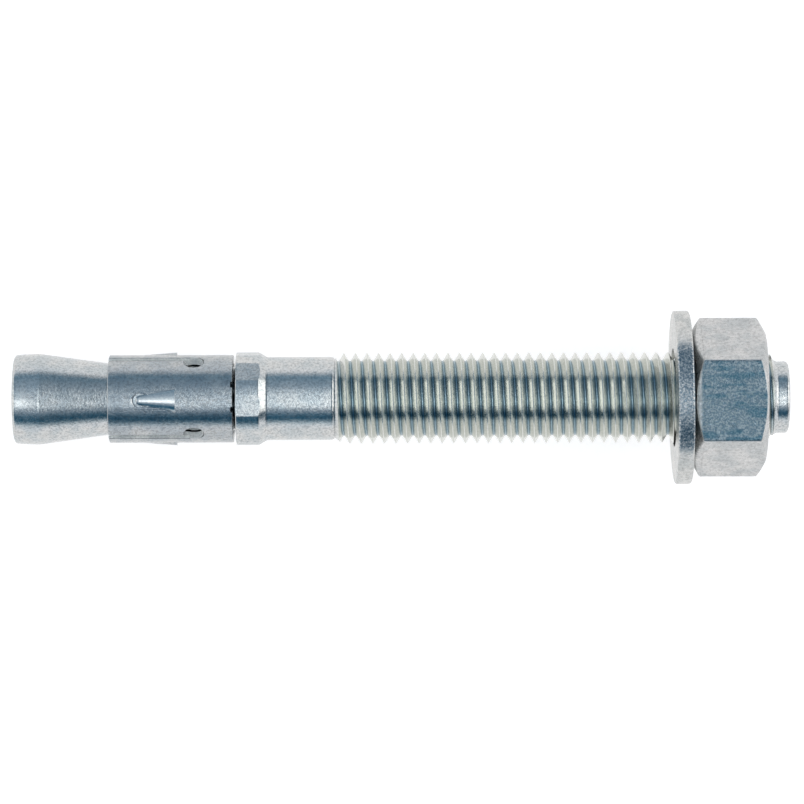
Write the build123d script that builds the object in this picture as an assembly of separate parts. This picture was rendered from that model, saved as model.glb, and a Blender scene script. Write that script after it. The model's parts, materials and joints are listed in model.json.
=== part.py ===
from build123d import *
import os
from math import atan2, cos, degrees, radians, sin, tan

# Wedge anchor, size M16, in millimetres.
# It is built along the X axis, from the cone end at X = 0 to the dog point, and then laid
# down as it comes to rest, on the rims of its head and of its washer.

# Expansion clip: one bent sheet round the neck of the stud
neck_radius = 6.0
clip_clearance = 0.2
sheet_thickness = 1.4
clip_length = 21.5
clip_edge_break = 0.2
clip_turn = 2.0
seam_width = 1.2
slot_width = 1.2
slot_angle = 61.5
slot_hole_angle = 55.0
slot_hole_radius = 1.6
slot_hole_from_end = 6.75
notch_width = 1.0
notch_depth = 0.4
notch_angle = 16.5

# Wedges pressed out of the clip
wedge_angles = (-4.0, 96.0, -100.0)
wedge_start = 4.0
wedge_length = 7.65
wedge_height = 0.5
wedge_nose_radius = 1.0
wedge_half_angle = 15.0

# Stud: head and cone, which spread the clip
head_stands_proud = 0.24
head_land = 2.1
head_end_length = 2.5
head_end_taper = 0.19
head_edge_break = 0.45
head_corner_fillet = 3.0
cone_half_angle = 8.05
cone_clearance = 0.03

# Stud: collar with shallow flats all round it, which stops the clip
collar_gap = 0.45
collar_stands_proud = 0.45
collar_length = 3.95
collar_edge_break = 0.2
collar_shoulder_fillet = 0.6
collar_flat_count = 8
collar_flat_depth = 0.21
collar_flat_turn = -9.0

# Stud: shank, thread and dog point
overall_length = 133.75
shoulder_length = 1.4
shank_length = 11.4
shank_radius = 7.2
shank_corner_fillet = 1.2
thread_radius = 7.85
thread_root_radius = 6.5
thread_end_chamfer = 0.95
dog_length = 2.45
dog_radius = 6.2
dog_edge_break = 0.4

# Washer
washer_radius = 15.0
washer_thickness = 2.8
washer_bore_play = 0.65
washer_contact_gap = 0.05
washer_edge_break = 0.3
washer_lean = 0.76

# Nut
nut_across_flats = 24.0
nut_height = 12.6
nut_set_back = 4.05
nut_turn = 2.9
nut_chamfer_radius = 11.4
nut_chamfer_angle = 30.0
nut_thread_clearance = 0.1
nut_countersink = 0.55
washer_to_nut = 0.32

# Sizes that follow from the ones above
clip_inner_radius = neck_radius + clip_clearance
clip_outer_radius = clip_inner_radius + sheet_thickness
clip_middle_radius = clip_inner_radius + sheet_thickness / 2

head_radius = clip_outer_radius + head_stands_proud
cone_slope = tan(radians(cone_half_angle))
cone_start = head_end_length + head_land
neck_start = cone_start + (head_radius - neck_radius) / cone_slope
clip_start = cone_start + (head_radius - clip_inner_radius + cone_clearance) / cone_slope
clip_end = clip_start + clip_length

collar_start = clip_end + collar_gap
collar_end = collar_start + collar_length
collar_radius = clip_outer_radius + collar_stands_proud
shank_start = collar_end + shoulder_length
thread_start = shank_start + shank_length
root_start = thread_start + shank_radius - thread_root_radius
first_crest = root_start + thread_radius - thread_root_radius
thread_end = overall_length - dog_length

nut_bore_radius = thread_radius + nut_thread_clearance
nut_corner_radius = nut_across_flats / 2 / cos(radians(30))
nut_start = overall_length - nut_set_back - nut_height
washer_start = nut_start - washer_to_nut - washer_thickness
washer_middle = washer_start + washer_thickness / 2
washer_bore_radius = thread_radius + washer_bore_play
washer_lift = washer_bore_play - washer_contact_gap


def turned(points, corner_fillets=()):
    """A solid of revolution about X from (x, radius) points, with some corners rounded."""
    face = make_face(Polyline(*points, close=True))
    for (x, r), radius in corner_fillets:
        corner = face.vertices().sort_by_distance(Vector(x, r, 0))[0]
        face = fillet(corner, radius)
    return revolve(face, Axis.X)


def ring_outline(start, end, inner_radius, outer_radius, edge_break):
    """The section of a ring, with both of its outer edges broken."""
    return [
        (start, inner_radius),
        (start, outer_radius - edge_break),
        (start + edge_break, outer_radius),
        (end - edge_break, outer_radius),
        (end, outer_radius - edge_break),
        (end, inner_radius),
    ]


def spoke(angle, x, radius):
    """A place on the round surface, with its own Z pointing outwards. 0 degrees is +Z."""
    return Location((x, 0, 0), (-angle, 0, 0)) * Location((0, 0, radius))


def anchor_stud():
    """The one-piece stud: head, cone, neck, collar, shank, thread as its outline, and dog."""
    outline = [
        (0, 0),
        (0, head_radius - head_end_taper - head_edge_break),
        (head_edge_break, head_radius - head_end_taper),
        (head_end_length, head_radius),
        (cone_start, head_radius),
        (neck_start, neck_radius),
        (collar_start, neck_radius),
        (collar_start, collar_radius - collar_edge_break),
        (collar_start + collar_edge_break, collar_radius),
        (collar_end, collar_radius),
        (shank_start, shank_radius),
        (thread_start, shank_radius),
        (root_start, thread_root_radius),
        (first_crest, thread_radius),
        (thread_end - thread_end_chamfer, thread_radius),
        (thread_end, dog_radius),
        (overall_length - dog_edge_break, dog_radius),
        (overall_length, dog_radius - dog_edge_break),
        (overall_length, 0),
    ]
    corner_fillets = [
        ((cone_start, head_radius), head_corner_fillet),
        ((collar_end, collar_radius), collar_shoulder_fillet),
        ((shank_start, shank_radius), shank_corner_fillet),
    ]
    stud = turned(outline, corner_fillets)
    flat_length = collar_length + shoulder_length
    flat = Box(
        flat_length, collar_radius, collar_radius, align=(Align.MIN, Align.CENTER, Align.MIN)
    )
    for n in range(collar_flat_count):
        angle = collar_flat_turn + n * 360 / collar_flat_count
        stud -= spoke(angle, collar_start, collar_radius - collar_flat_depth) * flat
    return stud


def wedge_punch(angle, sink):
    """The cone that presses one wedge out of the sheet, lowered by sink towards the axis."""
    rise = atan2(wedge_height, wedge_length)
    lean = radians(wedge_half_angle) - rise
    back = wedge_nose_radius / sin(radians(wedge_half_angle))
    apex_x = clip_start + wedge_start - back * cos(rise)
    apex_r = clip_outer_radius - sink - back * sin(rise)
    height = (back + wedge_length) / cos(radians(wedge_half_angle))
    base = height * tan(radians(wedge_half_angle))
    cone = Cone(base, 0, height, align=(Align.CENTER, Align.CENTER, Align.MAX))
    lying = Plane(origin=(apex_x, 0, apex_r), x_dir=(0, 1, 0), z_dir=(-cos(lean), 0, sin(lean)))
    end_x = clip_start + wedge_start + wedge_length
    keep = Box(end_x, 4 * base, 4 * base, align=(Align.MIN, Align.CENTER, Align.CENTER))
    punch = lying * cone & Location((0, 0, clip_outer_radius)) * keep
    return Rotation(-angle, 0, 0) * punch


def expansion_clip():
    """The bent sheet: ring, seam, slots with their holes, end notches and pressed wedges."""
    clip = turned(
        ring_outline(clip_start, clip_end, clip_inner_radius, clip_outer_radius, clip_edge_break)
    )
    inside = Location((clip_start, 0, 0), (0, 90, 0)) * Cylinder(
        clip_middle_radius, clip_length, align=(Align.CENTER, Align.CENTER, Align.MIN)
    )
    for angle in wedge_angles:
        clip += wedge_punch(angle, 0) - inside
    for angle in wedge_angles:
        clip -= wedge_punch(angle, sheet_thickness)
    through = 3 * sheet_thickness
    seam = Box(clip_length, seam_width, through, align=(Align.MIN, Align.CENTER, Align.CENTER))
    clip -= spoke(180, clip_start, clip_middle_radius) * seam
    hole_x = clip_end - slot_hole_from_end
    slot = Box(
        hole_x - clip_start, slot_width, through, align=(Align.MIN, Align.CENTER, Align.CENTER)
    )
    notch = Box(notch_depth, notch_width, through, align=(Align.MAX, Align.CENTER, Align.CENTER))
    for side in (1, -1):
        clip -= spoke(side * slot_angle, clip_start, clip_middle_radius) * slot
        clip -= spoke(side * slot_hole_angle, hole_x, clip_middle_radius) * Cylinder(
            slot_hole_radius, through
        )
        clip -= spoke(side * notch_angle, clip_end, clip_middle_radius) * notch
    return Rotation(-clip_turn, 0, 0) * clip


def flat_washer():
    """The punched washer, lifted in its play as far as the stud lies in its bore."""
    half = washer_thickness / 2
    washer = turned(ring_outline(-half, half, washer_bore_radius, washer_radius, washer_edge_break))
    return Location((washer_middle, 0, washer_lift), (0, 0, washer_lean)) * washer


def hex_nut():
    """The nut: a hexagon with both ends turned off at an angle, bored and countersunk."""
    hexagon = RegularPolygon(nut_corner_radius, 6, rotation=30 + nut_turn)
    blank = extrude(Location((nut_start, 0, 0), (0, 90, 0)) * hexagon, nut_height)
    turned_radius = nut_corner_radius + nut_countersink
    run = (turned_radius - nut_chamfer_radius) * tan(radians(nut_chamfer_angle))
    nut_end = nut_start + nut_height
    envelope = [
        (nut_start, 0),
        (nut_start, nut_chamfer_radius),
        (nut_start + run, turned_radius),
        (nut_end - run, turned_radius),
        (nut_end, nut_chamfer_radius),
        (nut_end, 0),
    ]
    mouth = nut_bore_radius + nut_countersink
    bore = [
        (nut_start, 0),
        (nut_start, mouth),
        (nut_start + nut_countersink, nut_bore_radius),
        (nut_end - nut_countersink, nut_bore_radius),
        (nut_end, mouth),
        (nut_end, 0),
    ]
    return (blank & turned(envelope)) - turned(bore)


def lying_turn():
    """The turn that lays the anchor down, so that head and washer touch the same floor."""
    washer_reach = washer_radius - washer_lift
    washer_foot = washer_start + washer_edge_break
    tilt = atan2(washer_reach - head_radius, washer_foot - head_end_length)
    return Rotation(0, -degrees(tilt), 0)


def all_pieces():
    """Every piece where it lies: on the floor, with the middle of its box over the origin."""
    pieces = {
        "anchor_stud": anchor_stud(),
        "expansion_clip": expansion_clip(),
        "flat_washer": flat_washer(),
        "hex_nut": hex_nut(),
    }
    turn = lying_turn()
    box = Compound(children=[turn * piece for piece in pieces.values()]).bounding_box()
    place = Location((-box.center().X, -box.center().Y, -box.min.Z)) * turn
    return {name: place * piece for name, piece in pieces.items()}, place


def main():
    os.makedirs("parts", exist_ok=True)
    pieces, _ = all_pieces()
    for name, piece in pieces.items():
        export_step(piece, f"parts/{name}.step")
        print(name, round(piece.volume, 1), piece.bounding_box())


main()
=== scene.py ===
# %% [markdown]
# # A wedge anchor, modelled and finished in Blender
#
# A wedge anchor is a bolt for concrete. It is driven into a drilled hole and pulled by its nut,
# and then the cone at its deep end spreads a sheet-metal clip against the wall of the hole.
# The measured model is loaded first. It says where everything is, and the pieces below are
# made to lie exactly on it, with the thread, the pressed wedges and the zinc that it lacks.

import bpy
import json
from math import atan2, cos, degrees, pi, radians, sin, tan
from mathutils import Matrix, Vector


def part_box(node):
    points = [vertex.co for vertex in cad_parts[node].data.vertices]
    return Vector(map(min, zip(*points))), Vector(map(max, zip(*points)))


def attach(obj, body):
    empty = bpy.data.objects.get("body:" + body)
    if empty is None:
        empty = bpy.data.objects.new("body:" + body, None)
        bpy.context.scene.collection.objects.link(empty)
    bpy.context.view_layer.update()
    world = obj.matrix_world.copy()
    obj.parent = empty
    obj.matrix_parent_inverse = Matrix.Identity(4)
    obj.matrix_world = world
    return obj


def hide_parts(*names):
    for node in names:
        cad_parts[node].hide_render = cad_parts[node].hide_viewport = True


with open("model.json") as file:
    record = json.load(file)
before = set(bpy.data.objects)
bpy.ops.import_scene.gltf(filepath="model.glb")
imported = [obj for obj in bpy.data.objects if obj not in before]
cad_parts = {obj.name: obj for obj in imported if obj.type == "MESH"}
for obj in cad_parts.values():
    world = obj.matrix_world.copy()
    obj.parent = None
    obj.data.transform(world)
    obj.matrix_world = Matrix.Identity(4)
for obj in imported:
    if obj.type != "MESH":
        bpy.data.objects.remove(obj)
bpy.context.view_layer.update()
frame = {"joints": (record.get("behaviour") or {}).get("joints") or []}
joints = {joint["name"]: joint for joint in frame["joints"]}
bpy.ops.object.select_all(action="DESELECT")

# %% [markdown]
# ## Where the anchor lies
#
# The anchor is round, so it is easiest to model along the X axis, in millimetres, with the cone
# end at zero. It rests on the rims of its head and its washer, and so its axis rises a little
# towards the nut. The axis of the clip's joint gives that direction, and the middle of the clip
# gives a place on it. One matrix then lays every finished piece down, in metres.

# %% The place of the axis
MILLIMETRE = 0.001

clip_start = 16.406
clip_end = clip_start + 21.5

axis = Vector(joints["clip_turn"]["axis"])
clip_middle = Vector(joints["clip_turn"]["pos_m"])
tilt = atan2(axis.z, axis.x)
cone_end = clip_middle - axis * (clip_start + clip_end) / 2 * MILLIMETRE
lying = (
    Matrix.Translation(cone_end)
    @ Matrix.Rotation(-tilt, 4, "Y")
    @ Matrix.Scale(MILLIMETRE, 4)
)
print("the axis rises by", round(degrees(tilt), 3), "degrees")


# %% [markdown]
# ## Drawing and turning
#
# Almost everything on a bolt is turned, rolled or pressed round one axis. So a section is drawn
# as a line of points, each a place along the axis and a radius, by extruding one vertex from
# point to point. Spinning that line round the axis gives the solid. It is what a lathe does,
# and it keeps every edge exactly where it was measured.

# %% Helpers for edit mode
def select_only(*pieces):
    """Selects these objects and makes the last one active."""
    bpy.ops.object.select_all(action="DESELECT")
    for piece in pieces:
        piece.select_set(True)
        bpy.context.view_layer.objects.active = piece


def apply_modifiers(piece):
    """Makes every modifier of the piece part of its mesh."""
    select_only(piece)
    for modifier in list(piece.modifiers):
        bpy.ops.object.modifier_apply(modifier=modifier.name)


def draw_line(name, points):
    """An object whose mesh is one line through (x, radius) points, in the XY plane."""
    bpy.ops.mesh.primitive_plane_add(size=1)
    line = bpy.context.object
    line.name = name
    line.data.name = name
    bpy.ops.object.mode_set(mode="EDIT")
    bpy.ops.mesh.select_mode(type="VERT")
    bpy.ops.mesh.merge(type="CENTER")
    start = Vector((*points[0], 0))
    bpy.ops.transform.translate(value=start)
    for x, radius in points[1:]:
        step = Vector((x, radius, 0)) - start
        bpy.ops.mesh.extrude_vertices_move(TRANSFORM_OT_translate={"value": step})
        start += step
    bpy.ops.object.mode_set(mode="OBJECT")
    return line


def close_up(limit=1e-4):
    """In edit mode: merges what coincides and turns all faces outwards."""
    bpy.ops.mesh.select_all(action="SELECT")
    bpy.ops.mesh.remove_doubles(threshold=limit)
    bpy.ops.mesh.normals_make_consistent(inside=False)


def lathe(name, points, steps=192):
    """A solid of revolution about the X axis."""
    piece = draw_line(name, points)
    bpy.ops.object.mode_set(mode="EDIT")
    bpy.ops.mesh.select_all(action="SELECT")
    bpy.ops.mesh.spin(steps=steps, angle=2 * pi, center=(0, 0, 0), axis=(1, 0, 0))
    close_up()
    bpy.ops.object.mode_set(mode="OBJECT")
    return piece


def boolean(piece, cutter, operation):
    """Cuts, joins or intersects a piece with another one, which is then gone."""
    modifier = piece.modifiers.new(operation.lower(), "BOOLEAN")
    modifier.operation = operation
    modifier.solver = "EXACT"
    modifier.object = cutter
    apply_modifiers(piece)
    bpy.data.objects.remove(cutter)
    return piece


def lay_down(piece):
    """Moves a finished piece from its drawing place to where the measured model has it."""
    piece.matrix_world = lying @ piece.matrix_world
    select_only(piece)
    bpy.ops.object.transform_apply(location=True, rotation=True, scale=True)
    bpy.ops.object.select_all(action="DESELECT")
    return piece


print("the cone end comes to lie at", [round(v / MILLIMETRE, 2) for v in cone_end], "mm")

# %% [markdown]
# Turned and pressed steel has no knife edges. A corner in a drawn line is therefore replaced by
# a short arc, as a fillet of a known radius. The arc's points are worked out here, because
# a bevel on a spun mesh would have to be repeated for every edge.

# %% Rounded corners
def rounded(points, radii, arc_steps=5):
    """The same line with the corners named in radii, {index: radius}, turned into arcs."""
    line = []
    for index, point in enumerate(points):
        if index not in radii:
            line.append(point)
            continue
        corner = Vector(point)
        before = (Vector(points[index - 1]) - corner).normalized()
        after = (Vector(points[index + 1]) - corner).normalized()
        half = before.angle(after) / 2
        reach = radii[index] / tan(half)
        middle = corner + (before + after).normalized() * radii[index] / sin(half)
        first = (corner + before * reach - middle).normalized()
        last = (corner + after * reach - middle).normalized()
        for step in range(arc_steps + 1):
            arm = first.slerp(last, step / arc_steps) * radii[index]
            line.append(tuple(middle + arm))
    return line


trial = rounded([(0, 0), (5, 0), (5, 5)], {1: 2})
print("a square corner of radius 2:", [(round(x, 2), round(r, 2)) for x, r in trial])

# %% [markdown]
# ## The stud without its thread
#
# The stud is one piece of cold-formed steel. From the left it has the head that spreads the
# clip, a long cone, a thin neck hidden under the clip, a collar that pushes the clip into the
# hole, a plain shank, the thread and a small dog point that takes the hammer blows. Its thread
# gets only a core here, and the real thread is rolled onto that core further on.

# %% The stud's outline
head_radius = 7.84
head_end_taper = 0.19
head_end_length = 2.5
cone_start = 4.6
cone_slope = tan(radians(8.05))
neck_radius = 6.0
relief_length = 1.5
relief_depth = 0.8
neck_start = cone_start + (head_radius - neck_radius) / cone_slope
collar_start = clip_end + 0.45
collar_end = collar_start + 3.95
collar_radius = 8.05
shank_start = collar_end + 1.4
shank_radius = 7.2
shank_end = 55.6
core_radius = 6.3
thread_end = 131.3
dog_radius = 6.2
overall_length = 133.75

stud_line = rounded(
    [
        (0, 0),
        (0, head_radius - head_end_taper),
        (head_end_length, head_radius),
        (cone_start, head_radius),
        (neck_start, neck_radius),
        (collar_start - relief_length, neck_radius),
        (collar_start, neck_radius - relief_depth),
        (collar_start, collar_radius),
        (collar_end, collar_radius),
        (shank_start, shank_radius),
        (shank_end, shank_radius),
        (shank_end, core_radius),
        (thread_end - 0.3, core_radius),
        (thread_end - 0.3, dog_radius + 0.42),
        (thread_end + 0.4, dog_radius),
        (overall_length, dog_radius),
        (overall_length, 0),
    ],
    {1: 0.65, 2: 40, 3: 3.0, 4: 2.0, 7: 0.25, 8: 0.6, 9: 1.2, 10: 0.85, 14: 0.5, 15: 0.6},
)
stud = lathe("anchor_stud_zinc", stud_line)
print("stud outline of", len(stud_line), "points,", len(stud.data.polygons), "faces")

# %% [markdown]
# The collar carries eight shallow flats all round. Each is planed off by a box that touches
# the collar and its shoulder only. A bisect would be quicker to write, but it cuts the whole
# part of the mesh that is selected, and the rounded shoulder is easier to limit with a box.

# %% The flats on the collar
flat_count = 8
flat_distance = 7.84
flat_turn = -9
planer = (shank_start - collar_start + 1, 9, 2)


def spoke(angle, x, radius):
    """A place on the round surface: Z points outwards, and 0 degrees is the upper side."""
    return (
        Matrix.Translation((x, 0, 0))
        @ Matrix.Rotation(-radians(angle), 4, "X")
        @ Matrix.Translation((0, 0, radius))
    )


for flat in range(flat_count):
    bpy.ops.mesh.primitive_cube_add(size=1, scale=planer)
    plane = bpy.context.object
    bpy.ops.object.transform_apply(scale=True)
    turn = flat_turn + flat * 360 / flat_count
    middle = (collar_start + shank_start) / 2
    plane.matrix_world = spoke(turn, middle, flat_distance + planer[2] / 2)
    boolean(stud, plane, "DIFFERENCE")
print("collar with", flat_count, "flats,", len(stud.data.polygons), "faces")

# %% [markdown]
# ## The rolled thread
#
# The thread is a true right-hand helix with a pitch of two millimetres. One pitch of its
# section is drawn, with a sharp crest and a narrow rounded root, and the Screw modifier turns
# it round the axis while it moves along. Rings would be simpler, but they look wrong from the
# side, where real crests sit half a pitch apart on the two edges, and no nut would turn on
# them. The turns lead into each other, so merging the doubles leaves one closed skin.

# %% One pitch, turned into a helix
pitch = 2.0
crest_radius = 7.85
root_radius = 6.48
top_crest = 56.97
turn_steps = 96
crest_to_root = [(0.0, 0.0), (0.06, 0.015), (0.12, 0.07), (0.83, 1.28), (0.9, 1.35), (1.0, 1.37)]


def pitch_line(crest_x, swell):
    """The section of one pitch from crest to crest, with its surface moved out by swell."""
    down = [(crest_x + x, crest_radius + swell - drop) for x, drop in crest_to_root]
    back = [(2 * crest_x + pitch - x, radius) for x, radius in reversed(down[:-1])]
    return down + back


def helix(name, start, turns, swell=0.0):
    """A closed length of thread whose crest meets the top edge at start, and every pitch on."""
    thread = draw_line(name, pitch_line(start, swell))
    screw = thread.modifiers.new("screw", "SCREW")
    screw.axis = "X"
    screw.steps = turn_steps
    screw.render_steps = turn_steps
    screw.screw_offset = pitch
    screw.iterations = turns
    screw.use_merge_vertices = True
    apply_modifiers(thread)
    bpy.ops.object.mode_set(mode="EDIT")
    close_up(0.001)
    bpy.ops.object.mode_set(mode="OBJECT")
    return thread


def trim(piece, start, end):
    """Cuts a piece square at both ends and closes the cuts."""
    select_only(piece)
    bpy.ops.object.mode_set(mode="EDIT")
    for x, keep in ((start, 1), (end, -1)):
        bpy.ops.mesh.select_all(action="SELECT")
        bpy.ops.mesh.bisect(
            plane_co=(x, 0, 0), plane_no=(-keep, 0, 0), use_fill=True, clear_outer=True
        )
    close_up()
    bpy.ops.object.mode_set(mode="OBJECT")


turns_before_top_crest = 3
turns_in_all = 42
thread = helix("thread", top_crest - turns_before_top_crest * pitch, turns_in_all)
trim(thread, shank_end - 0.8, thread_end)
print("thread:", len(thread.data.polygons), "faces")

# %% [markdown]
# The thread doesn't start or end at full height. Rolled threads rise out of the shank over
# part of a turn, and the far end is chamfered so that the nut finds its way on. Both come from
# one turned envelope: what lies inside it stays. The thread is then joined to the core. The
# envelope is first turned by a fraction of a degree, because a boolean is only safe where no
# edge of one mesh lies on an edge of the other, and all of these have edges at equal angles.

# %% Run-out, chamfer and the finished stud
off_the_edges = radians(0.4)
run_out = [(55.0, 0), (55.0, 6.6), (55.75, 7.1), (56.4, 7.76), (57.4, 8.0)]
chamfer = [(130.27, 8.0), (thread_end + 0.1, 6.15), (thread_end + 0.1, 0)]

envelope = lathe("envelope", run_out + chamfer)
envelope.matrix_world = Matrix.Rotation(off_the_edges, 4, "X")
boolean(thread, envelope, "INTERSECT")
boolean(stud, thread, "UNION")
bpy.ops.object.mode_set(mode="EDIT")
close_up()
bpy.ops.object.mode_set(mode="OBJECT")
print("stud with its thread:", len(stud.data.polygons), "faces")

# %% [markdown]
# A machined part is smooth along its curves and crisp at its corners. Everything is shaded
# smooth, and the edges that turn by more than a limit, in degrees, are marked sharp. The flats
# on the collar meet the round at barely ten degrees, so they get a finer limit than the thread,
# whose crests should stay soft. Auto smooth would know one limit only for the whole piece.

# %% Smooth faces, sharp corners
def mark_corners(piece, limit, wanted=lambda place: True):
    """Marks the edges that turn by more than limit degrees sharp, where wanted allows it."""
    select_only(piece)
    mesh = piece.data
    normals = {}
    for face in mesh.polygons:
        for key in face.edge_keys:
            normals.setdefault(key, []).append(face.normal)
    for edge in mesh.edges:
        pair = normals.get(edge.key, [])
        middle = (mesh.vertices[edge.vertices[0]].co + mesh.vertices[edge.vertices[1]].co) / 2
        if len(pair) == 2 and pair[0].angle(pair[1], 0) > radians(limit) and wanted(middle):
            edge.use_edge_sharp = True


def shade(piece, limit):
    """Shades a piece smooth, and sharp past the limit."""
    select_only(piece)
    bpy.ops.object.shade_smooth()
    mark_corners(piece, limit)


def weigh_normals(piece):
    """Lets large faces lead the shading, so that flats stay flat up to their edges."""
    weighted = piece.modifiers.new("weighted", "WEIGHTED_NORMAL")
    weighted.keep_sharp = True
    apply_modifiers(piece)


shade(stud, 28)
mark_corners(stud, 5, lambda place: collar_start + 0.3 < place.x < collar_end + 1.3)
weigh_normals(stud)
print("sharp edges on the stud:", sum(edge.use_edge_sharp for edge in stud.data.edges))

# %% [markdown]
# ## The expansion clip
#
# The clip is stamped from sheet steel and bent round the neck. Its edges meet at a seam at the
# back. Two slots split its front half into tongues, each slot ends in a punched round hole,
# two small notches mark the collar side, and three wedges are pressed outwards to bite into
# concrete. It starts as a turned ring, and each feature is one cutter. The cutters for
# holes and slots flare at the top, because a punch drags the edge of the metal down with it.

# %% The ring
clip_inner = 6.2
clip_outer = 7.6
clip_turn = radians(2)

clip = lathe(
    "expansion_clip_zinc",
    rounded(
        [
            (clip_start, clip_inner),
            (clip_start, clip_outer),
            (clip_end, clip_outer),
            (clip_end, clip_inner),
            (clip_start, clip_inner),
        ],
        {1: 0.22, 2: 0.2},
        arc_steps=4,
    ),
    steps=256,
)
print("plain ring:", len(clip.data.polygons), "faces")

# %% [markdown]
# A punch is a turned cutter that stands on the sheet, and a slot is the same section drawn on
# both sides and extruded. Both take the width of the opening, how deep they go, and how far
# the lip is dragged down. They are made here once and used for every opening of the clip.

# %% Punches for holes and slots
lip_steps = 4
above_sheet = 0.6
through_sheet = 3.0


def flared_section(half_width, depth, flare):
    """Half of a punched opening from below the sheet up to above it, with a rounded lip."""
    line = [(-depth, 0), (-depth, half_width), (-flare, half_width)]
    for step in range(1, lip_steps + 1):
        bend = step / lip_steps * pi / 2
        line.append((-flare + flare * sin(bend), half_width + flare * (1 - cos(bend))))
    return line + [(above_sheet, half_width + flare + above_sheet), (above_sheet, 0)]


def punched_hole(radius, flare):
    """A round cutter that stands on the Z axis."""
    cutter = lathe("punch", flared_section(radius, through_sheet, flare), steps=64)
    cutter.rotation_euler = (0, -pi / 2, 0)
    select_only(cutter)
    bpy.ops.object.transform_apply(rotation=True)
    return cutter


def punched_slot(width, length, flare):
    """A long cutter that runs from zero to length along X, with flared flanks."""
    half = flared_section(width / 2, through_sheet, flare)
    outline = [(radius, z) for z, radius in half[1:-1]]
    outline += [(-radius, z) for radius, z in reversed(outline)]
    outline.append(outline[0])
    cutter = draw_line("slot", outline)
    bpy.ops.object.mode_set(mode="EDIT")
    bpy.ops.mesh.select_all(action="SELECT")
    bpy.ops.mesh.remove_doubles(threshold=1e-4)
    bpy.ops.mesh.edge_face_add()
    bpy.ops.mesh.extrude_region_move(TRANSFORM_OT_translate={"value": (0, 0, length)})
    close_up()
    bpy.ops.object.mode_set(mode="OBJECT")
    cutter.matrix_world = Matrix(((0, 0, 1, 0), (1, 0, 0, 0), (0, 1, 0, 0), (0, 0, 0, 1)))
    select_only(cutter)
    bpy.ops.object.transform_apply(rotation=True)
    return cutter


print("punches with lips of", lip_steps, "steps, reaching", through_sheet, "mm down")

# %% [markdown]
# Each wedge is pressed in one stroke. The tool first dents the sheet around the wedge's nose,
# and then a ridge like half a cone rises out of that dent and ends sheared off square, which is
# the edge that grips. So the dent is one cutter and the ridge one cone that is joined on. The same
# cone, sunk by the thickness of the sheet, hollows the ridge from inside.

# %% The wedges
wedge_start = clip_start + 4.0
wedge_length = 7.65
wedge_end = wedge_start + wedge_length
wedge_height = 0.5
wedge_nose = 1.6
wedge_half_angle = radians(15)
wedge_angles = (-4, 96, -100)
sheet_thickness = clip_outer - clip_inner
dent_depth = 0.2
dent_length = 3.6
dent_width = 3.2
nose_height = 0.05
nose_steps = 8
wedge_steps = 96


def wedge_cone(angle, sink):
    """The ridge: a lying cone with a round nose, sheared square at its tall end."""
    rise = atan2(wedge_height - nose_height, wedge_length - wedge_nose)
    line = []
    for step in range(nose_steps + 1):
        bend = step / nose_steps * (pi / 2 - wedge_half_angle)
        line.append((wedge_nose * (1 - cos(bend)), wedge_nose * sin(bend)))
    touch = Vector((line[-1][0], 0, line[-1][1]))
    far = wedge_length + 3
    line.append((far, touch.z + (far - touch.x) * tan(wedge_half_angle)))
    line.append((far, 0))
    cone = lathe("wedge", line, wedge_steps)
    lean = Matrix.Rotation(wedge_half_angle - rise, 4, "Y")
    top = Vector((wedge_start + wedge_nose, 0, clip_outer + nose_height - sink))
    cone.matrix_world = Matrix.Translation(top - lean @ touch) @ lean
    select_only(cone)
    bpy.ops.object.transform_apply(location=True, rotation=True)
    trim(cone, wedge_start - 5, wedge_end)
    cone.matrix_world = Matrix.Rotation(-radians(angle), 4, "X")
    select_only(cone)
    bpy.ops.object.transform_apply(rotation=True)
    return cone


def dent(angle):
    """The flat dent with sloping sides that the ridge rises from."""
    line = [(-dent_depth, 0), (-dent_depth, 0.72), (-dent_depth * 0.7, 0.84), (0.1, 1.0)]
    tool = lathe("dent", line + [(1, 1.2), (1, 0)], wedge_steps)
    tool.rotation_euler = (0, -pi / 2, 0)
    select_only(tool)
    bpy.ops.object.transform_apply(rotation=True)
    size = Matrix.Diagonal((dent_length / 2, dent_width / 2, 1, 1))
    tool.matrix_world = spoke(angle, wedge_start + dent_length / 2, clip_outer) @ size
    return tool


kept_free = clip_inner + 0.4
inside = lathe(
    "inside",
    [(clip_start, 0), (clip_start, kept_free), (clip_end, kept_free), (clip_end, 0)],
)
bosses = None
for angle in wedge_angles:
    boolean(clip, dent(angle), "DIFFERENCE")
    cone = wedge_cone(angle, 0)
    bosses = cone if bosses is None else boolean(bosses, cone, "UNION")
boolean(bosses, inside, "DIFFERENCE")
boolean(clip, bosses, "UNION")
for angle in wedge_angles:
    boolean(clip, wedge_cone(angle, sheet_thickness), "DIFFERENCE")
print("ring with its wedges:", len(clip.data.polygons), "faces")

# %% [markdown]
# The seam runs the whole length at the back. Each slot runs from the cone side up to its round
# hole, and the notches are nicks in the collar side. They are all cut with the flared cutters,
# each stood on the sheet by the same spoke that placed the flats.

# %% Seam, slots, holes and notches
slot_angle = 61.5
slot_width = 1.2
hole_angle = 55.0
hole_radius = 1.6
hole_x = clip_end - 6.75
notch_angle = 16.5
notch_width = 1.0
notch_depth = 0.4
seam_width = 1.2
hole_flare = 0.3
slot_flare = 0.15
seam_flare = 0.12
notch_flare = 0.05


def cut(cutter, place):
    """Puts a cutter in its place on the clip and cuts with it."""
    cutter.matrix_world = place
    boolean(clip, cutter, "DIFFERENCE")


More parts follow.
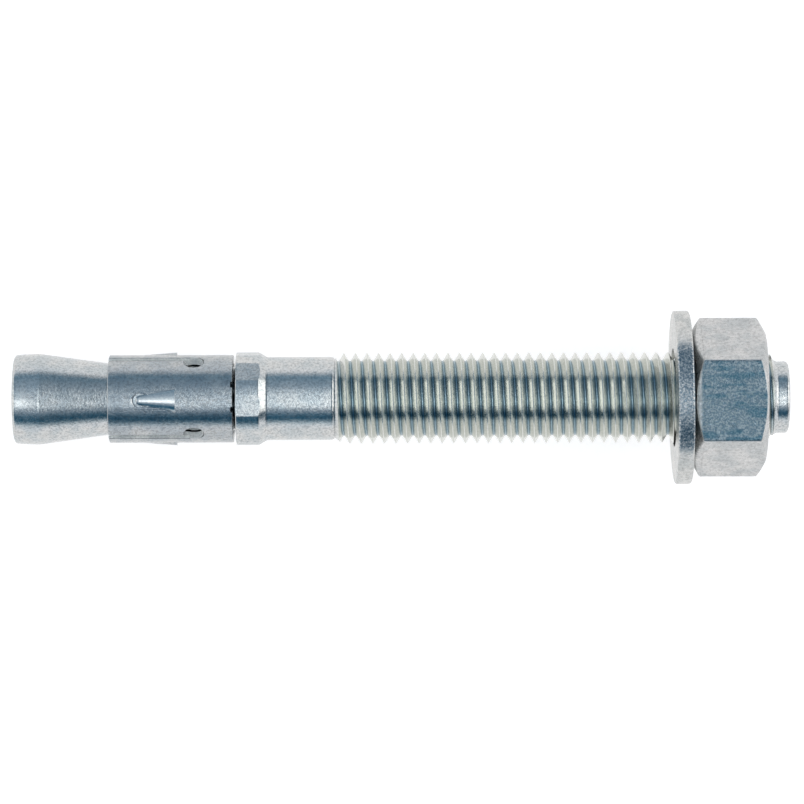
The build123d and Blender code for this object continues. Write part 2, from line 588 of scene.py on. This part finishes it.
before_clip = clip_start - 1
cut(punched_slot(seam_width, 24, seam_flare), spoke(180, before_clip, clip_outer))
for side in (1, -1):
    slot = punched_slot(slot_width, hole_x - before_clip, slot_flare)
    cut(slot, spoke(side * slot_angle, before_clip, clip_outer))
    cut(punched_hole(hole_radius, hole_flare), spoke(side * hole_angle, hole_x, clip_outer))
    notch = punched_slot(notch_width, 2, notch_flare)
    cut(notch, spoke(side * notch_angle, clip_end - notch_depth, clip_outer))
print("clip with its openings:", len(clip.data.polygons), "faces")

# %% [markdown]
# Every face of the clip now gets its material slot. Where it looks tells which one: rolled
# sheet looks straight out from the axis, a sheared wall looks sideways, and the dragged lips
# of the punched holes and slots lie in between, at the angles where those openings are.

# %% Sheet, sheared walls and lips
SHEET, SHEARED, LIP = range(3)

for slot in (SHEET, SHEARED, LIP):
    clip.data.materials.append(None)
for face in clip.data.polygons:
    outwards = Vector((0, face.center.y, face.center.z)).normalized()
    lean_out = abs(face.normal.dot(outwards))
    angle = abs(degrees(atan2(face.center.y, face.center.z)))
    if clip_start + 0.3 < face.center.x < clip_end - 0.5:
        if lean_out < 0.4:
            face.material_index = SHEARED
        elif lean_out < 0.95 and 45 < angle < 72:
            face.material_index = LIP
clip.matrix_world = Matrix.Rotation(-clip_turn, 4, "X")
shade(clip, 24)
weigh_normals(clip)
for slot, name in ((SHEET, "sheet"), (SHEARED, "sheared"), (LIP, "lip")):
    print(name, "faces:", sum(face.material_index == slot for face in clip.data.polygons))

# %% [markdown]
# ## The washer
#
# The washer is punched from plate. The punch leaves one rounded edge, where the metal was drawn
# down, and one crisp edge. It hangs on the thread with play and leans a little.

# %% The washer, turned and set
washer_radius = 15.0
washer_bore = 8.5
washer_thickness = 2.8
washer_start = 113.98
washer_lift = 0.6
washer_lean = radians(0.76)

half_thickness = washer_thickness / 2
washer = lathe(
    "flat_washer_zinc",
    rounded(
        [
            (-half_thickness, washer_bore),
            (-half_thickness, washer_radius),
            (half_thickness, washer_radius),
            (half_thickness, washer_bore),
            (-half_thickness, washer_bore),
        ],
        {1: 0.35, 2: 0.45, 3: 0.2},
    ),
    256,
)
washer.matrix_world = Matrix.Translation(
    (washer_start + half_thickness, 0, washer_lift)
) @ Matrix.Rotation(washer_lean, 4, "Z")
shade(washer, 28)
weigh_normals(washer)
print("washer:", len(washer.data.polygons), "faces")

# %% [markdown]
# ## The nut
#
# A hexagon nut is a forged prism whose corners are turned off at thirty degrees at both ends,
# which leaves the curved lines at the ends of its flats. Intersecting the prism with a turned
# envelope makes exactly those curves. The flats also ease in a little just before the washer,
# where the forging die let go, so the lower end of the prism is extruded narrower first.

# %% The nut's body
nut_across_flats = 24.0
nut_height = 12.6
nut_start = 117.1
nut_end = nut_start + nut_height
nut_turn = radians(2.9)
nut_chamfer_radius = 11.4
nut_corner = nut_across_flats / 2 / cos(radians(30))
chamfer_reach = nut_corner + 0.5
chamfer_run = (chamfer_reach - nut_chamfer_radius) * tan(radians(30))
thread_clearance = 0.1

easing_length = 1.45
easing_angle = radians(9)
spare = 1.0

bpy.ops.mesh.primitive_cylinder_add(
    vertices=6,
    radius=nut_corner,
    depth=nut_height - easing_length + spare,
    location=((nut_start + easing_length + nut_end + spare) / 2, 0, 0),
    rotation=(0, pi / 2, 0),
)
nut = bpy.context.object
nut.name = "hex_nut_zinc"
nut.data.name = nut.name
bpy.ops.object.transform_apply(location=True, rotation=True)
bpy.ops.object.mode_set(mode="EDIT")
bpy.ops.mesh.select_mode(type="FACE")
bpy.ops.mesh.select_all(action="DESELECT")
bpy.ops.object.mode_set(mode="OBJECT")
for face in nut.data.polygons:
    face.select = face.normal.x < -0.9
bpy.ops.object.mode_set(mode="EDIT")
lowered = easing_length + spare
bpy.ops.mesh.extrude_region_move(TRANSFORM_OT_translate={"value": (-lowered, 0, 0)})
drawn_in = 1 - 2 * lowered * tan(easing_angle) / nut_across_flats
bpy.ops.transform.resize(value=(1, drawn_in, drawn_in), center_override=(0, 0, 0))
close_up()
bpy.ops.object.mode_set(mode="OBJECT")


def bevel_corners(piece, limit, width, segments):
    """Rounds every edge of the piece that turns by more than limit degrees."""
    select_only(piece)
    bpy.ops.object.mode_set(mode="EDIT")
    bpy.ops.mesh.select_mode(type="EDGE")
    bpy.ops.mesh.select_all(action="DESELECT")
    bpy.ops.mesh.edges_select_sharp(sharpness=radians(limit))
    bpy.ops.mesh.bevel(offset=width, segments=segments, affect="EDGES", loop_slide=False)
    close_up()
    bpy.ops.object.mode_set(mode="OBJECT")


bevel_corners(nut, limit=40, width=0.35, segments=4)

nut_envelope = lathe(
    "nut_envelope",
    rounded(
        [
            (nut_start, 0),
            (nut_start, nut_chamfer_radius),
            (nut_start + chamfer_run, chamfer_reach),
            (nut_end - chamfer_run, chamfer_reach),
            (nut_end, nut_chamfer_radius),
            (nut_end, 0),
        ],
        {1: 0.25, 4: 0.25},
    ),
    256,
)
boolean(nut, nut_envelope, "INTERSECT")
bevel_corners(nut, limit=40, width=0.2, segments=3)
print("nut blank:", len(nut.data.polygons), "faces")

# %% [markdown]
# The nut is bored and countersunk, and then tapped with the same helix as the stud's, a tenth
# of a millimetre larger, so that it really runs on the thread. The whole nut is then turned by
# three degrees to where its flats stand, which moves its thread by a sixtieth of a millimetre
# along the stud and so stays well inside that clearance.

# %% The nut's thread
countersink = 0.55
mouth = crest_radius + thread_clearance + countersink
bore = root_radius + 0.3
bore_cutter = lathe(
    "bore",
    [
        (nut_start - 0.1, 0),
        (nut_start - 0.1, mouth + 0.1),
        (nut_start + mouth - bore, bore),
        (nut_end - mouth + bore, bore),
        (nut_end + 0.1, mouth + 0.1),
        (nut_end + 0.1, 0),
    ],
    128,
)
boolean(nut, bore_cutter, "DIFFERENCE")
crests_before_nut = 28
turns_in_nut = 11
past_nut = 1.5
inner_thread = helix(
    "inner_thread", top_crest + crests_before_nut * pitch, turns_in_nut, thread_clearance
)
trim(inner_thread, nut_start - past_nut, nut_end + past_nut)
boolean(nut, inner_thread, "DIFFERENCE")
nut.matrix_world = Matrix.Rotation(nut_turn, 4, "X")
shade(nut, 24)
mark_corners(nut, 5, lambda place: abs(place.x - nut_start - easing_length) < 0.05)
weigh_normals(nut)
print("nut:", len(nut.data.polygons), "faces")

# %% [markdown]
# ## Laying the pieces down
#
# Each piece is laid on its place in the measured model, rides the body of that place and takes
# the place of its plain shape. The printed numbers tell how far a piece stands out of that
# shape's box on each side, which should be a few hundredths of a millimetre at most.

# %% Every piece on its body
pieces = {
    "anchor_stud": (stud, "stud", "zinc_stud"),
    "expansion_clip": (clip, "clip", "zinc_sheet"),
    "flat_washer": (washer, "washer", "zinc_washer"),
    "hex_nut": (nut, "nut", "zinc_nut"),
}
for node, (piece, body, finish) in pieces.items():
    lay_down(piece)
    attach(piece, body)
    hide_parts(node)
    low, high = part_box(node)
    corners = [Vector(corner) for corner in piece.bound_box]
    reach = [max(c[i] for c in corners) - high[i] for i in range(3)]
    reach += [low[i] - min(c[i] for c in corners) for i in range(3)]
    print(piece.name, "stands out of its node by", [round(r * 1000, 2) for r in reach], "mm")

# %% [markdown]
# ## Bright zinc
#
# All four pieces are steel with a thin coat of zinc. It is a metal through and through: what
# it shows is mostly its surroundings, broken up by the fine crystals of the coat, by places
# where it is duller, and by scratches from the bin it was shipped in. So the material is one
# metallic shader. Noise at the size of the grains tilts its normals, and wider noise varies its
# colour and roughness. These small functions keep the node trees short to write.

# %% Node helpers
def add_node(tree, kind, **settings):
    """Adds a node and sets its properties and the inputs that are named after sockets."""
    node = tree.nodes.new(kind)
    for key, value in settings.items():
        if key in node.inputs:
            node.inputs[key].default_value = value
        else:
            setattr(node, key, value)
    return node


def ramp(tree, source, stops, interpolation="EASE"):
    """A colour ramp through (position, colour) stops. A plain number is a grey."""
    node = tree.nodes.new("ShaderNodeValToRGB")
    node.color_ramp.interpolation = interpolation
    elements = node.color_ramp.elements
    while len(elements) < len(stops):
        elements.new(1)
    for element, (position, colour) in zip(elements, stops):
        element.position = position
        if not isinstance(colour, tuple):
            colour = (colour, colour, colour)
        element.color = (*colour, 1)
    tree.links.new(source, node.inputs["Fac"])
    return node.outputs["Color"]


def blend(tree, kind, share, first, second):
    """Mixes two colours, each a socket or a plain colour, by a share that may be a socket."""
    node = tree.nodes.new("ShaderNodeMix")
    node.data_type = "RGBA"
    node.blend_type = kind
    for socket, value in ((0, share), (6, first), (7, second)):
        if isinstance(value, bpy.types.NodeSocket):
            tree.links.new(value, node.inputs[socket])
        elif socket == 0:
            node.inputs[socket].default_value = value
        else:
            node.inputs[socket].default_value = (*value, 1)
    return node.outputs[2]


print("node helpers:", ", ".join(helper.__name__ for helper in (add_node, ramp, blend)))

# %% [markdown]
# Patterns are sized and placed in millimetres from the cone end along the anchor's own axis,
# because a real finish follows the part and not the table it lies on. The same coordinates
# give masks: the thread and a stained side can be told apart by where they are.

# %% Coordinates along the anchor
cone_end_turned = Matrix.Rotation(tilt, 3, "Y") @ cone_end / MILLIMETRE


def anchor_space(tree, stretch=(1, 1, 1), turn=(0, 0, 0)):
    """Object coordinates in millimetres, turned so that X runs along the anchor's axis."""
    place = tree.nodes.new("ShaderNodeTexCoord")
    aligned = tree.nodes.new("ShaderNodeMapping")
    aligned.inputs["Location"].default_value = -cone_end_turned
    aligned.inputs["Rotation"].default_value = (0, tilt, 0)
    aligned.inputs["Scale"].default_value = (1 / MILLIMETRE,) * 3
    tree.links.new(place.outputs["Object"], aligned.inputs["Vector"])
    stretched = tree.nodes.new("ShaderNodeMapping")
    stretched.inputs["Rotation"].default_value = turn
    stretched.inputs["Scale"].default_value = stretch
    tree.links.new(aligned.outputs["Vector"], stretched.inputs["Vector"])
    return stretched.outputs["Vector"]


def noise(tree, scale, detail=2.0, rough=0.5, stretch=(1, 1, 1), turn=(0, 0, 0)):
    """A noise pattern with this many waves to the millimetre."""
    node = tree.nodes.new("ShaderNodeTexNoise")
    node.inputs["Scale"].default_value = scale
    node.inputs["Detail"].default_value = detail
    node.inputs["Roughness"].default_value = rough
    tree.links.new(anchor_space(tree, stretch, turn), node.inputs["Vector"])
    return node.outputs["Fac"]


def spread(tree, source, low, high):
    """Maps low to high of a value to zero to one."""
    node = tree.nodes.new("ShaderNodeMapRange")
    node.inputs["From Min"].default_value = low
    node.inputs["From Max"].default_value = high
    tree.links.new(source, node.inputs["Value"])
    return node.outputs["Result"]


def stops_over(tree, source, stops):
    """A straight-lined ramp whose stops are given in the unit of its source."""
    low, high = stops[0][0], stops[-1][0]
    share = spread(tree, source, low, high)
    return ramp(tree, share, [((at - low) / (high - low), s) for at, s in stops], "LINEAR")


def place_mask(tree, axis_name, stops, roll=0.0):
    """A mask from (millimetres, share) stops along one axis, after a roll round X."""
    place = tree.nodes.new("ShaderNodeSeparateXYZ")
    tree.links.new(anchor_space(tree, turn=(roll, 0, 0)), place.inputs[0])
    return stops_over(tree, place.outputs[axis_name], stops)


def depth_mask(tree, stops):
    """A mask from (millimetres, share) stops over the distance from the anchor's axis."""
    reach = add_node(tree, "ShaderNodeVectorMath", operation="LENGTH")
    tree.links.new(anchor_space(tree, stretch=(0, 1, 1)), reach.inputs[0])
    return stops_over(tree, reach.outputs["Value"], stops)


print("the axis is straight once it is turned by", round(degrees(tilt), 3), "degrees")

# %% [markdown]
# One recipe makes the plain coat. Clouds mix its bright and its dull tone, a fine speckle
# darkens it here and there, and scratches lighten it. Roughness changes in patches, and the
# grain is a bump far finer than anything that is worth modelling.

# %% The zinc itself
def ramp_to(tree, source, low, high):
    """Spreads a pattern between two greys."""
    return ramp(tree, source, [(0, low), (1, high)], "LINEAR")


def scratches(tree, turn):
    """Thin light lines, a few millimetres long: a stretched noise of which little is left."""
    lines = noise(tree, 1.0, 1.0, 0.5, stretch=(0.25, 7.0, 0.25), turn=turn)
    return ramp(tree, lines, [(0.66, 0.0), (0.69, 1.0)])


BUMP_HEIGHT = 0.00006


def zinc(name, bright, dull, roughness, grain, grain_tilt):
    """Zinc plating: bright and dull are its two tones, roughness is (low, high)."""
    material = bpy.data.materials.new(name)
    material.use_nodes = True
    tree = material.node_tree
    shader = tree.nodes["Principled BSDF"]
    shader.inputs["Metallic"].default_value = 1
    clouds = ramp(tree, noise(tree, 0.3, 4, 0.65), [(0.38, 0.0), (0.62, 1.0)])
    speckle = ramp(tree, noise(tree, grain, 3, 0.7), [(0.36, 0.0), (0.56, 1.0)])
    tone = blend(tree, "MIX", clouds, dull, bright)
    tone = blend(tree, "MULTIPLY", 1.0, tone, ramp_to(tree, speckle, 0.76, 1.0))
    worn = blend(
        tree,
        "ADD",
        1.0,
        scratches(tree, (0.3, 0.2, 0.9)),
        scratches(tree, (1.4, 0.1, -0.6)),
    )
    tone = blend(tree, "MIX", ramp_to(tree, worn, 0.0, 0.12), tone, (1, 1, 1))
    tree.links.new(tone, shader.inputs["Base Color"])
    low, high = roughness
    patches = ramp(tree, noise(tree, 1.6, 4, 0.75), [(0.35, low), (0.65, high)])
    tree.links.new(patches, shader.inputs["Roughness"])
    bump = tree.nodes.new("ShaderNodeBump")
    bump.inputs["Distance"].default_value = BUMP_HEIGHT
    bump.inputs["Strength"].default_value = grain_tilt
    tree.links.new(noise(tree, grain, 4, 0.7), bump.inputs["Height"])
    tree.links.new(bump.outputs["Normal"], shader.inputs["Normal"])
    return material


print("the grain's bump is", BUMP_HEIGHT / MILLIMETRE, "mm high")

# %% [markdown]
# The four pieces were plated in different lots and have different surfaces under the zinc, so each
# gets tones, roughness and grain of its own: the drawn and rolled stud and the sheet are glossy, and
# the punched washer and the forged nut are duller and coarser. The sheared walls of the clip's
# openings are matt, and their near-white tone is painted light in those shaded openings. The dragged
# lips round them are painted dark, as painted shade.

# %% Four finishes, and the clip's two others
finishes = {
    "zinc_stud": zinc("zinc_stud", (0.65, 0.66, 0.66), (0.55, 0.59, 0.61), (0.1, 0.23), 2.4, 0.38),
    "zinc_sheet": zinc("zinc_sheet", (0.51, 0.53, 0.54), (0.41, 0.45, 0.48), (0.1, 0.23), 2.2, 0.45),
    "zinc_washer": zinc("zinc_washer", (0.68, 0.68, 0.67), (0.54, 0.56, 0.56), (0.2, 0.36), 1.9, 0.8),
    "zinc_nut": zinc("zinc_nut", (0.66, 0.66, 0.66), (0.54, 0.56, 0.57), (0.24, 0.42), 1.9, 0.6),
}
for piece, body, finish in pieces.values():
    if not piece.data.materials:
        piece.data.materials.append(None)
    piece.data.materials[SHEET] = finishes[finish]
    print(piece.name, "wears", finish)

# Matt like sheared steel, and near white as painted light in the shaded openings.
sheared_painted_light = zinc("zinc_sheared_painted_light", (0.97, 0.97, 0.95), (0.75, 0.77, 0.77), (0.4, 0.6), 3.0, 0.5)
sheared_painted_light.node_tree.nodes["Principled BSDF"].inputs["Metallic"].default_value = 0.1
clip.data.materials[SHEARED] = sheared_painted_light
# Painted shade: the lips round the openings are made dark.
clip.data.materials[LIP] = zinc("lip_painted_shade", (0.2, 0.22, 0.23), (0.1, 0.12, 0.13), (0.3, 0.5), 3.0, 0.5)

# %% [markdown]
# Some places look different from the rest of their part. The rolling left the thread smoother and a
# little greenish, and the bottoms of its grooves are painted dark, as painted shade. The ridges of the
# clip's wedges get a painted highlight. The rim of the washer is coarse, and the upward side of its
# rim and the upward flat of the nut are painted dark and speckled, as painted shade. Each is one more
# coat, held by a mask.

# %% Coats for single places
def coat(tree, mask, low, high, grain_tilt):
    """Covers the masked place with a speckle between two tones and a grain of its own."""
    shader = tree.nodes["Principled BSDF"]
    under = shader.inputs["Base Color"].links[0].from_socket
    sparkle = ramp(tree, noise(tree, 3.2, 2, 0.6), [(0.42, low), (0.64, high)])
    tree.links.new(blend(tree, "MIX", mask, under, sparkle), shader.inputs["Base Color"])
    strength = tree.nodes["Bump"].inputs["Strength"]
    if not strength.links:
        tree.links.new(ramp_to(tree, mask, strength.default_value, grain_tilt), strength)


tree = finishes["zinc_stud"].node_tree
rolled = place_mask(
    tree,
    "X",
    [(shank_end, 0), (shank_end + 0.8, 1), (thread_end - 1, 1), (thread_end - 0.1, 0)],
)
coat(tree, rolled, (0.66, 0.68, 0.65), (0.74, 0.75, 0.71), 0.15)
# Painted shade: the bottoms of the thread's grooves are darkened.
deep = depth_mask(tree, [(root_radius + 0.02, 1), (root_radius + 0.26, 0)])
root_shade = blend(tree, "MULTIPLY", 1.0, rolled, deep)
coat(tree, root_shade, (0.26, 0.36, 0.41), (0.34, 0.43, 0.47), 0.15)

tree = finishes["zinc_sheet"].node_tree
# Painted highlight: the raised ridges of the wedges are lightened.
raised = place_mask(tree, "Z", [(clip_outer - 0.1, 0), (clip_outer - 0.03, 1)], -clip_turn)
wedge_span = place_mask(
    tree,
    "X",
    [(wedge_start - 0.2, 0), (wedge_start + 0.1, 1), (wedge_end - 0.05, 1), (wedge_end + 0.05, 0)],
)
ridge_highlight = blend(tree, "MULTIPLY", 1.0, raised, wedge_span)
coat(tree, ridge_highlight, (0.64, 0.66, 0.67), (0.74, 0.75, 0.75), 0.15)

tree = finishes["zinc_washer"].node_tree
# Painted shade: the upward side of the washer's rim is darkened and speckled.
painted_shade_rim = place_mask(tree, "Z", [(washer_radius - 2.8, 0), (washer_radius - 2, 1)])
coat(tree, painted_shade_rim, (0.2, 0.26, 0.31), (0.66, 0.66, 0.66), 1.3)

tree = finishes["zinc_nut"].node_tree
flat_height = nut_across_flats / 2
# Painted shade: the upward flat of the nut is darkened, with darker streaks on it.
painted_shade_flat = place_mask(tree, "Z", [(flat_height - 0.1, 0), (flat_height - 0.04, 1)], -nut_turn)
coat(tree, painted_shade_flat, (0.14, 0.21, 0.26), (0.4, 0.46, 0.49), 1.3)
streaks = ramp(tree, noise(tree, 0.5, 2, 0.6, stretch=(0.3, 1.3, 1.3)), [(0.47, 0.0), (0.62, 0.75)])
streaks = blend(tree, "MULTIPLY", 1.0, painted_shade_flat, streaks)
coat(tree, streaks, (0.04, 0.13, 0.19), (0.16, 0.27, 0.33), 1.3)
print("coats on", [material.name for material in finishes.values()])

# %% [markdown]
# ## The camera
#
# The picture was taken from straight above the anchor, square to its axis, from three quarters
# of a metre away with a long lens. The camera is therefore placed over the anchor as it was
# modelled, in millimetres, and laid down by the same matrix as the pieces, so it stays square
# to the axis. Its focal length follows from the width that it has to show at that distance.

# %% Camera
camera_distance = 754.0
view_width = 139.2
camera_middle = (67.0, -0.66)
camera_roll = radians(-0.168)
sensor_width = 36

camera_data = bpy.data.cameras.new("camera")
camera_data.sensor_width = sensor_width
camera_data.lens = sensor_width * camera_distance / view_width
camera = bpy.data.objects.new("camera", camera_data)
bpy.context.scene.collection.objects.link(camera)
above = Matrix.Translation((*camera_middle, camera_distance)) @ Matrix.Rotation(camera_roll, 4, "Z")
place = lying @ above
camera.matrix_world = Matrix.LocRotScale(place.to_translation(), place.to_quaternion(), None)
bpy.context.scene.camera = camera
print("lens of", round(camera_data.lens, 1), "mm")

# %% [markdown]
# ## The floor
#
# The anchor lies on white paper, which is to look just white and still hold the soft shadow.
# Diffuse paper alone would come out grey under this light, and more light would bleach the
# zinc. So the paper also glows a little, by as much as brings it up to white away from the
# anchor. What the zinc mirrors of it is plain white, without the shadow under the anchor.

# %% Floor
paper_glow = 0.64

bpy.ops.mesh.primitive_plane_add(size=4, location=(0, 0, 0))
floor = bpy.context.object
floor.name = "floor"
paper = bpy.data.materials.new("white_paper")
paper.use_nodes = True
tree = paper.node_tree
tree.nodes.clear()
rays = tree.nodes.new("ShaderNodeLightPath")
shade_part = add_node(tree, "ShaderNodeBsdfDiffuse", Color=(0.8, 0.8, 0.8, 1))
lift = add_node(tree, "ShaderNodeEmission", Color=(1, 0.975, 0.965, 1), Strength=paper_glow)
mirrored = add_node(tree, "ShaderNodeEmission", Color=(1, 1, 1, 1), Strength=1.0)
seen = tree.nodes.new("ShaderNodeAddShader")
tree.links.new(shade_part.outputs[0], seen.inputs[0])
tree.links.new(lift.outputs[0], seen.inputs[1])
either = tree.nodes.new("ShaderNodeMixShader")
tree.links.new(rays.outputs["Is Glossy Ray"], either.inputs[0])
tree.links.new(seen.outputs[0], either.inputs[1])
tree.links.new(mirrored.outputs[0], either.inputs[2])
output = tree.nodes.new("ShaderNodeOutputMaterial")
tree.links.new(either.outputs[0], output.inputs["Surface"])
floor.data.materials.append(paper)
print("paper of", floor.dimensions.x, "m, glowing at", paper_glow)

# %% [markdown]
# ## The studio
#
# Bright metal has hardly a colour of its own and shows the room instead. Lamps alone would
# leave it black with a few spots. So the room is drawn on the world's background, as bands over
# the angle from the zenith, measured round the anchor's axis: white near the table, a dark
# gap above it, which makes the two dark stripes along the anchor, and pale blue walls.
# Colour ramps over an angle do this exactly, and no lamp has to be placed by trial.

# %% The walls of the studio
world = bpy.data.worlds.new("studio")
bpy.context.scene.world = world
world.use_nodes = True
tree = world.node_tree
background = tree.nodes["Background"]
direction = tree.nodes.new("ShaderNodeTexCoord")
parts = tree.nodes.new("ShaderNodeSeparateXYZ")
tree.links.new(direction.outputs["Generated"], parts.inputs[0])
around = add_node(tree, "ShaderNodeMath", operation="ARCTAN2")
tree.links.new(parts.outputs["Y"], around.inputs[0])
tree.links.new(parts.outputs["Z"], around.inputs[1])


def bands(stops):
    """A ramp over the angle from the zenith in degrees, -100 to 100, positive towards +Y."""
    turned_angle = spread(tree, around.outputs[0], radians(-100), radians(100))
    return ramp(tree, turned_angle, [((a + 100) / 200, c) for a, c in stops], "LINEAR")


wall_bands = [
    (-84, (0.98, 1.0, 1.0)),
    (-75, (0.82, 0.9, 0.95)),
    (-68, (0.3, 0.42, 0.5)),
    (-61, (0.04, 0.13, 0.2)),
    (-54, (0.01, 0.08, 0.15)),
    (-43, (0.1, 0.2, 0.28)),
    (-35, (0.3, 0.38, 0.46)),
    (-24, (0.33, 0.42, 0.5)),
    (32, (0.34, 0.44, 0.53)),
    (48, (0.27, 0.37, 0.46)),
    (60, (0.16, 0.28, 0.38)),
    (66, (0.2, 0.31, 0.4)),
    (72, (0.45, 0.52, 0.58)),
    (80, (0.8, 0.83, 0.86)),
    (92, (0.95, 0.96, 0.97)),
]
walls = bands(wall_bands)
print("walls of", len(wall_bands), "bands")

# %% [markdown]
# A strip lamp hangs over the anchor, a little to one side of the zenith, and gives the
# highlight on head, clip, collar and shank. Two ramps are multiplied, one across the strip and
# one along it. Surfaces that lean differently along the axis show different stretches of it,
# so it is bright or dim stretch by stretch: most for the head, and least for the clip. The
# grooves of the thread bounce a ray three times and send it back near the zenith, where
# a small lamp lights them.

# %% The strip lamp and the thread's lamp
strip_across = bands([(-28, 0.0), (-19, 0.75), (-12, 1.0), (-5, 0.7), (4, 0.3), (30, 0.0)])
strip_along = ramp(
    tree,
    spread(tree, parts.outputs["X"], -1.0, 1.0),
    [
        (0.25, 0.1),
        (0.33, 1.0),
        (0.385, 1.0),
        (0.405, 0.1),
        (0.455, 0.08),
        (0.47, 0.25),
        (0.49, 0.25),
        (0.535, 0.4),
        (0.575, 0.0),
    ],
)
strip_light = (1.7, 1.7, 1.65)
small_lamp_light = (2.5, 2.5, 2.4)
strip = blend(tree, "MULTIPLY", 1.0, strip_across, strip_along)
sky = blend(tree, "ADD", 1.0, walls, blend(tree, "MULTIPLY", 1.0, strip, strip_light))
small_lamp = blend(
    tree,
    "MULTIPLY",
    1.0,
    bands([(-34, 0.0), (-24, 1.0), (10, 1.0), (34, 0.0)]),
    stops_over(tree, parts.outputs["X"], [(-0.017, 0.0), (-0.013, 1.0), (0.042, 1.0), (0.058, 0.0)]),
)
sky = blend(tree, "ADD", 1.0, sky, blend(tree, "MULTIPLY", 1.0, small_lamp, small_lamp_light))
print("the strip is", strip_light[0], "and the small lamp", small_lamp_light[0], "times white")

# %% [markdown]
# The nut's end of the room is darker, and beyond it stands a white lamp, which the chamfers of
# the nut and the dog point show. Another one stands beyond the cone and lights its round
# end. Low down all round the room is white, as a table of paper is. The camera itself sees plain
# white wherever the floor ends, and the zinc still mirrors the room.

# %% The lamps at the ends, and what the camera sees
near_side = ramp(tree, spread(tree, parts.outputs["X"], 0.0, 0.5), [(0.2, 1.0), (0.4, 0.62)])
sky = blend(tree, "MULTIPLY", 1.0, sky, near_side)
side_lamp = blend(
    tree,
    "MULTIPLY",
    1.0,
    ramp(tree, spread(tree, parts.outputs["X"], 0.0, 1.0), [(0.55, 0.0), (0.68, 1.0)]),
    bands([(-48, 0.0), (-34, 1.0), (58, 1.0), (70, 0.0)]),
)
sky = blend(tree, "MIX", side_lamp, sky, (1.9, 1.9, 1.85))
left_lamp = ramp(tree, spread(tree, parts.outputs["X"], -1.0, 0.0), [(0.16, 1.0), (0.3, 0.0)])
sky = blend(tree, "MIX", left_lamp, sky, (1.6, 1.6, 1.55))
horizon = ramp(tree, spread(tree, parts.outputs["Z"], 0.0, 0.4), [(0.35, 1.0), (0.65, 0.0)])
sky = blend(tree, "MIX", horizon, sky, (0.95, 0.97, 1.0))
world_rays = tree.nodes.new("ShaderNodeLightPath")
sky = blend(tree, "MIX", world_rays.outputs["Is Camera Ray"], sky, (1.0, 1.0, 1.0))
tree.links.new(sky, background.inputs["Color"])
bpy.context.scene.view_settings.view_transform = "Standard"
print("the room has", len(tree.nodes), "nodes")
